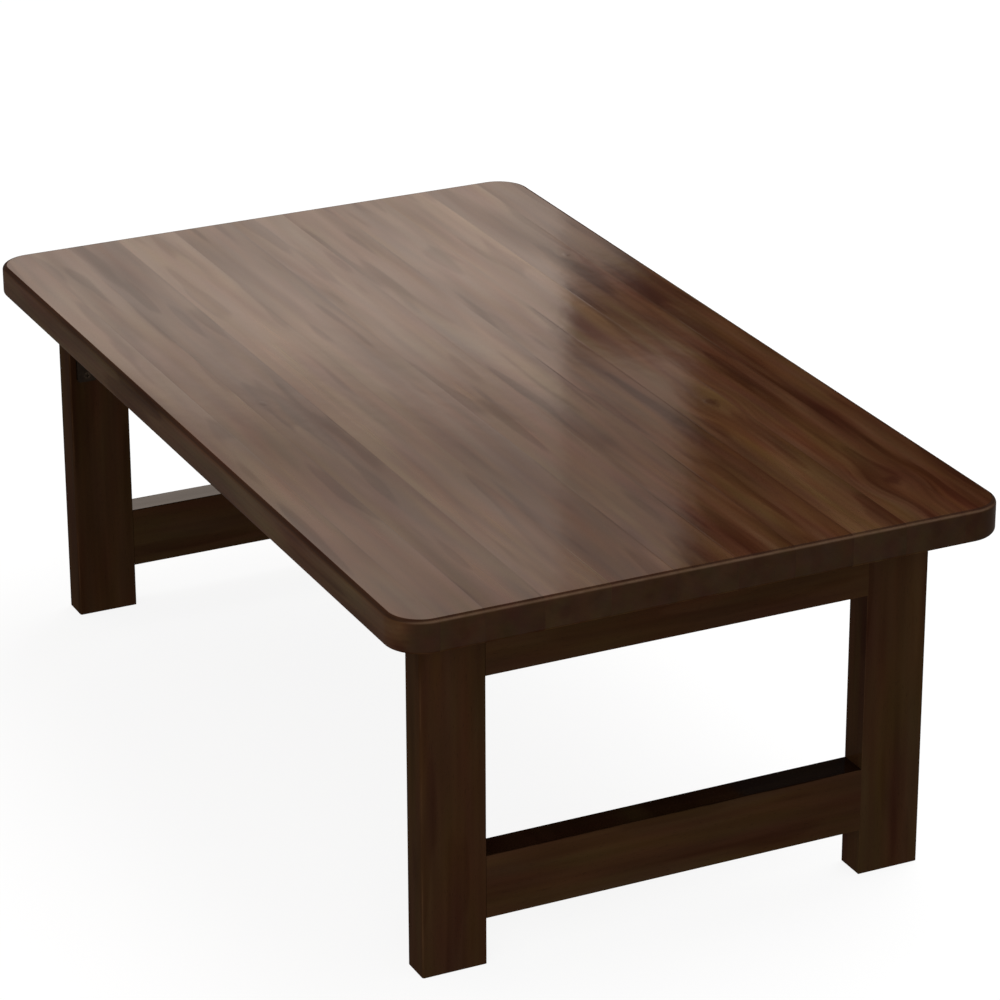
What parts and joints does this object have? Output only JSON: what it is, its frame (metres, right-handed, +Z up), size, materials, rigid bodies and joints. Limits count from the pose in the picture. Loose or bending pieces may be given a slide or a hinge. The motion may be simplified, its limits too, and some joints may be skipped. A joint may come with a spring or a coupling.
{
  "type": "folding low table",
  "caption": "Low rectangular floor table of dark lacquered wood, on end frames with a low stretcher that fold inward under the rounded top on hinges and folding stays.",
  "frame": {"origin": "on the floor, under the centre of the tabletop", "axes": "+X along the table's length, +Y across its width, +Z up"},
  "size_m": [0.846, 0.5, 0.315],
  "materials": {
    "top_wood": "gloss lacquer over dark walnut stain",
    "frame_wood": "satin lacquer over dark walnut stain",
    "batten_wood": "satin lacquer over dark walnut stain",
    "dowel_wood": "bare turned hardwood",
    "plate_steel": "pressed plate, darkened to an antique bronze",
    "fastener_steel": "turned steel, darkened to an antique bronze"
  },
  "bodies": {
    "table": {"batten_screws": "fastener_steel", "left_back_hinge_table_leaf": "plate_steel", "left_back_table_bracket": "plate_steel", "left_batten": "batten_wood", "left_front_hinge_table_leaf": "plate_steel", "left_front_table_bracket": "plate_steel", "right_back_hinge_table_leaf": "plate_steel", "right_back_table_bracket": "plate_steel", "right_batten": "batten_wood", "right_front_hinge_table_leaf": "plate_steel", "right_front_table_bracket": "plate_steel", "table_bracket_rivets": "fastener_steel", "table_bracket_screws": "fastener_steel", "table_leaf_screws": "fastener_steel", "tabletop": "top_wood"},
    "left_frame": {"left_back_hinge_frame_leaf": "plate_steel", "left_back_leg": "frame_wood", "left_back_leg_bracket": "plate_steel", "left_frame_dowels": "dowel_wood", "left_frame_leaf_screws": "fastener_steel", "left_front_hinge_frame_leaf": "plate_steel", "left_front_leg": "frame_wood", "left_front_leg_bracket": "plate_steel", "left_hinge_pins": "fastener_steel", "left_leg_bracket_rivets": "fastener_steel", "left_leg_bracket_screws": "fastener_steel", "left_stretcher": "frame_wood", "left_top_rail": "frame_wood"},
    "left_front_short_link": {"left_front_elbow_rivet_inner_half": "fastener_steel", "left_front_short_link": "plate_steel"},
    "left_front_long_link": {"left_front_elbow_rivet_outer_half": "fastener_steel", "left_front_long_link": "plate_steel"},
    "left_back_short_link": {"left_back_elbow_rivet_inner_half": "fastener_steel", "left_back_short_link": "plate_steel"},
    "left_back_long_link": {"left_back_elbow_rivet_outer_half": "fastener_steel", "left_back_long_link": "plate_steel"},
    "right_frame": {"right_back_hinge_frame_leaf": "plate_steel", "right_back_leg": "frame_wood", "right_back_leg_bracket": "plate_steel", "right_frame_dowels": "dowel_wood", "right_frame_leaf_screws": "fastener_steel", "right_front_hinge_frame_leaf": "plate_steel", "right_front_leg": "frame_wood", "right_front_leg_bracket": "plate_steel", "right_hinge_pins": "fastener_steel", "right_leg_bracket_rivets": "fastener_steel", "right_leg_bracket_screws": "fastener_steel", "right_stretcher": "frame_wood", "right_top_rail": "frame_wood"},
    "right_front_short_link": {"right_front_elbow_rivet_inner_half": "fastener_steel", "right_front_short_link": "plate_steel"},
    "right_front_long_link": {"right_front_elbow_rivet_outer_half": "fastener_steel", "right_front_long_link": "plate_steel"},
    "right_back_short_link": {"right_back_elbow_rivet_inner_half": "fastener_steel", "right_back_short_link": "plate_steel"},
    "right_back_long_link": {"right_back_elbow_rivet_outer_half": "fastener_steel", "right_back_long_link": "plate_steel"}
  },
  "joints": [
    {"name": "left_frame_fold", "type": "hinge", "parent": "table", "child": "left_frame", "pos_m": [-0.3425, 0, 0.273], "axis": [0, -1, 0], "range_deg": [0, 90]},
    {"name": "left_front_short_link_turn", "type": "hinge", "parent": "table", "child": "left_front_short_link", "pos_m": [-0.2675, -0.186, 0.2785], "axis": [0, -1, 0], "range_deg": [0, 147.08]},
    {"name": "left_front_long_link_turn", "type": "hinge", "parent": "left_frame", "child": "left_front_long_link", "pos_m": [-0.337, -0.186, 0.2335], "axis": [0, 1, 0], "range_deg": [0, 122.93]},
    {"name": "left_back_short_link_turn", "type": "hinge", "parent": "table", "child": "left_back_short_link", "pos_m": [-0.2675, 0.186, 0.2785], "axis": [0, -1, 0], "range_deg": [0, 147.08]},
    {"name": "left_back_long_link_turn", "type": "hinge", "parent": "left_frame", "child": "left_back_long_link", "pos_m": [-0.337, 0.186, 0.2335], "axis": [0, 1, 0], "range_deg": [0, 122.93]},
    {"name": "right_frame_fold", "type": "hinge", "parent": "table", "child": "right_frame", "pos_m": [0.3425, 0, 0.273], "axis": [0, 1, 0], "range_deg": [0, 90]},
    {"name": "right_front_short_link_turn", "type": "hinge", "parent": "table", "child": "right_front_short_link", "pos_m": [0.2675, -0.186, 0.2785], "axis": [0, 1, 0], "range_deg": [0, 147.08]},
    {"name": "right_front_long_link_turn", "type": "hinge", "parent": "right_frame", "child": "right_front_long_link", "pos_m": [0.337, -0.186, 0.2335], "axis": [0, -1, 0], "range_deg": [0, 122.93]},
    {"name": "right_back_short_link_turn", "type": "hinge", "parent": "table", "child": "right_back_short_link", "pos_m": [0.2675, 0.186, 0.2785], "axis": [0, 1, 0], "range_deg": [0, 147.08]},
    {"name": "right_back_long_link_turn", "type": "hinge", "parent": "right_frame", "child": "right_back_long_link", "pos_m": [0.337, 0.186, 0.2335], "axis": [0, -1, 0], "range_deg": [0, 122.93]}
  ],
  "couplings": [
    {"joint": "left_front_short_link_turn", "follows": "left_frame_fold", "ratio": 1.6342},
    {"joint": "left_front_long_link_turn", "follows": "left_frame_fold", "ratio": 1.3658},
    {"joint": "left_back_short_link_turn", "follows": "left_frame_fold", "ratio": 1.6342},
    {"joint": "left_back_long_link_turn", "follows": "left_frame_fold", "ratio": 1.3658},
    {"joint": "right_front_short_link_turn", "follows": "right_frame_fold", "ratio": 1.6342},
    {"joint": "right_front_long_link_turn", "follows": "right_frame_fold", "ratio": 1.3658},
    {"joint": "right_back_short_link_turn", "follows": "right_frame_fold", "ratio": 1.6342},
    {"joint": "right_back_long_link_turn", "follows": "right_frame_fold", "ratio": 1.3658}
  ]
}
